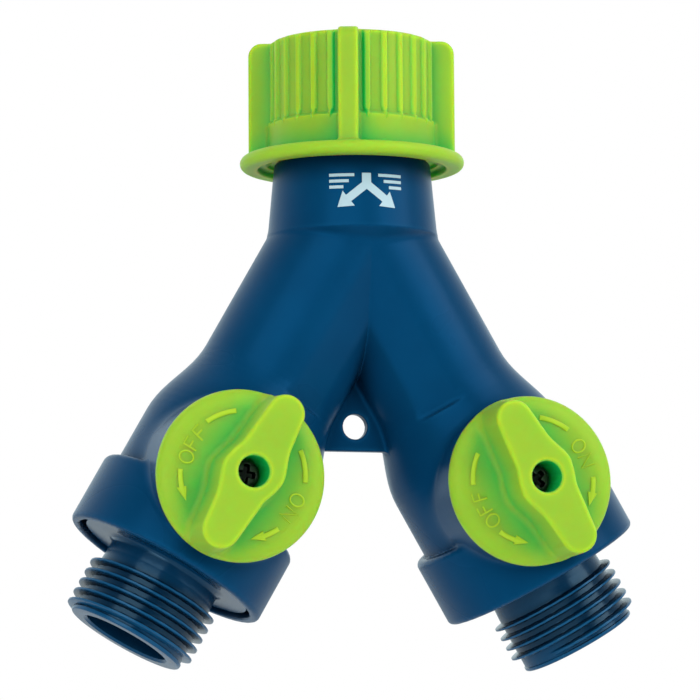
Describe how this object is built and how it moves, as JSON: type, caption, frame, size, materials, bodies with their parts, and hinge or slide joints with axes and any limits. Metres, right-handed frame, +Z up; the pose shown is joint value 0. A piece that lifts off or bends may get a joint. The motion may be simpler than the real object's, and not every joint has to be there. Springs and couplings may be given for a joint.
{
  "type": "hose splitter",
  "caption": "Forked garden hose splitter with a ribbed swivel inlet nut, two angled male-threaded outlets, each with a quarter-turn knob valve, and a drilled hanging web.",
  "frame": {"origin": "centre of the inlet washer's sealing face inside the swivel nut, on the inlet axis", "axes": "+Z up along the inlet axis towards the tap, +X to the right-hand outlet, the valve knobs face -Y"},
  "size_m": [0.1144, 0.0556, 0.1254],
  "materials": {
    "body": "satin moulded petrol blue",
    "lime_plastic": "satin moulded lime green",
    "seals": "black rubber",
    "valve_seats": "smooth white fluoroplastic",
    "valve_ball": "polished white acetal",
    "stems": "black moulded acetal",
    "screws": "blackened steel"
  },
  "bodies": {
    "body": {"y_body": "body", "swivel_tail": "body", "outlet_fitting_left": "body", "outlet_fitting_right": "body", "outlet_o_ring_left": "seals", "outlet_o_ring_right": "seals", "seat_upper_left": "valve_seats", "seat_upper_right": "valve_seats", "seat_lower_left": "valve_seats", "seat_lower_right": "valve_seats"},
    "nut": {"swivel_nut": "lime_plastic", "hose_washer": "seals"},
    "left_valve": {"knob_left": "lime_plastic", "knob_screw_left": "screws", "stem_left": "stems", "stem_washer_left": "valve_seats", "stem_o_ring_left": "seals", "ball_left": "valve_ball"},
    "right_valve": {"knob_right": "lime_plastic", "knob_screw_right": "screws", "stem_right": "stems", "stem_washer_right": "valve_seats", "stem_o_ring_right": "seals", "ball_right": "valve_ball"}
  },
  "joints": [
    {"name": "nut_swivel", "type": "hinge", "parent": "body", "child": "nut", "pos_m": [0, 0, -0.008], "axis": [0, 0, 1], "continuous": true},
    {"name": "left_knob_turn", "type": "hinge", "parent": "body", "child": "left_valve", "pos_m": [-0.0291, 0, -0.0781], "axis": [0, -1, 0], "range_deg": [0, 90]},
    {"name": "right_knob_turn", "type": "hinge", "parent": "body", "child": "right_valve", "pos_m": [0.0291, 0, -0.0781], "axis": [0, -1, 0], "range_deg": [0, 90]}
  ]
}
